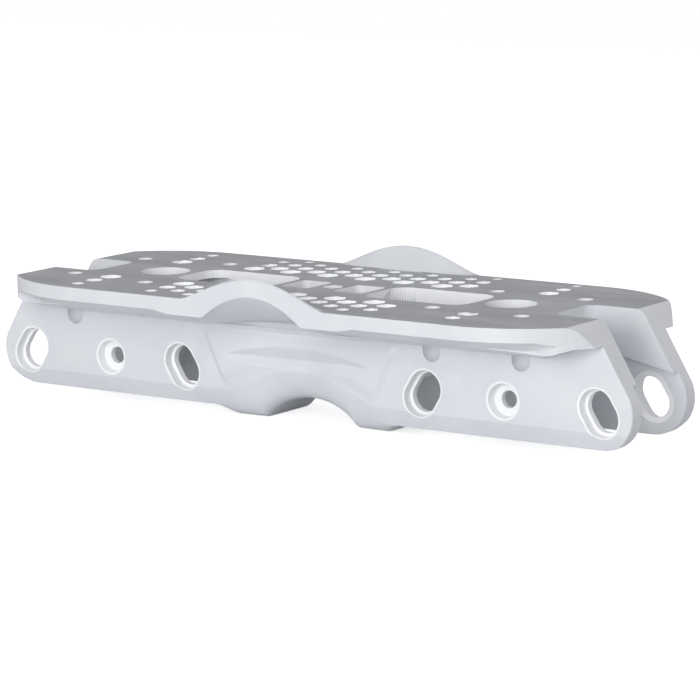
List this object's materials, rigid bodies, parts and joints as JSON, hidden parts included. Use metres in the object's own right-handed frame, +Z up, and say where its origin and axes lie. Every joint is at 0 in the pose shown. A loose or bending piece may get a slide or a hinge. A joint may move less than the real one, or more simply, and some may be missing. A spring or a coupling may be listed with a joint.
{
  "type": "aggressive inline skate frame",
  "caption": "Wide moulded skate frame with a flat perforated deck, arched side wings, a flared grinding groove under the middle and leaning axle slots in two side walls.",
  "frame": {"origin": "centre of the flat mounting face, midway between the two boot holes", "axes": "+X along the frame to the end at the picture's right, +Y across it to the far side, +Z up towards the boot"},
  "size_m": [0.2978, 0.1074, 0.0611],
  "materials": {
    "white_moulding": "moulded white nylon, satin",
    "grey_deck": "scuffed grey face on white nylon"
  },
  "bodies": {
    "root": {"sole_plate": "grey_deck", "near_flange": "grey_deck", "far_flange": "grey_deck", "near_wing": "white_moulding", "far_wing": "white_moulding", "near_rail_front": "white_moulding", "near_rail_rear": "white_moulding", "far_rail_front": "white_moulding", "far_rail_rear": "white_moulding", "near_cheek": "white_moulding", "far_cheek": "white_moulding", "groove_block": "white_moulding", "front_web": "white_moulding", "rear_web": "white_moulding", "front_rib": "white_moulding", "rear_rib": "white_moulding", "end_pad_near_front": "white_moulding", "end_pad_near_rear": "white_moulding", "end_pad_far_front": "white_moulding", "end_pad_far_rear": "white_moulding", "slot_liner_near_1": "white_moulding", "slot_liner_near_2": "white_moulding", "slot_liner_near_3": "white_moulding", "slot_liner_near_4": "white_moulding", "slot_liner_far_1": "white_moulding", "slot_liner_far_2": "white_moulding", "slot_liner_far_3": "white_moulding", "slot_liner_far_4": "white_moulding", "cross_sleeve_near_front": "white_moulding", "cross_sleeve_near_rear": "white_moulding", "cross_sleeve_far_front": "white_moulding", "cross_sleeve_far_rear": "white_moulding"}
  },
  "joints": []
}
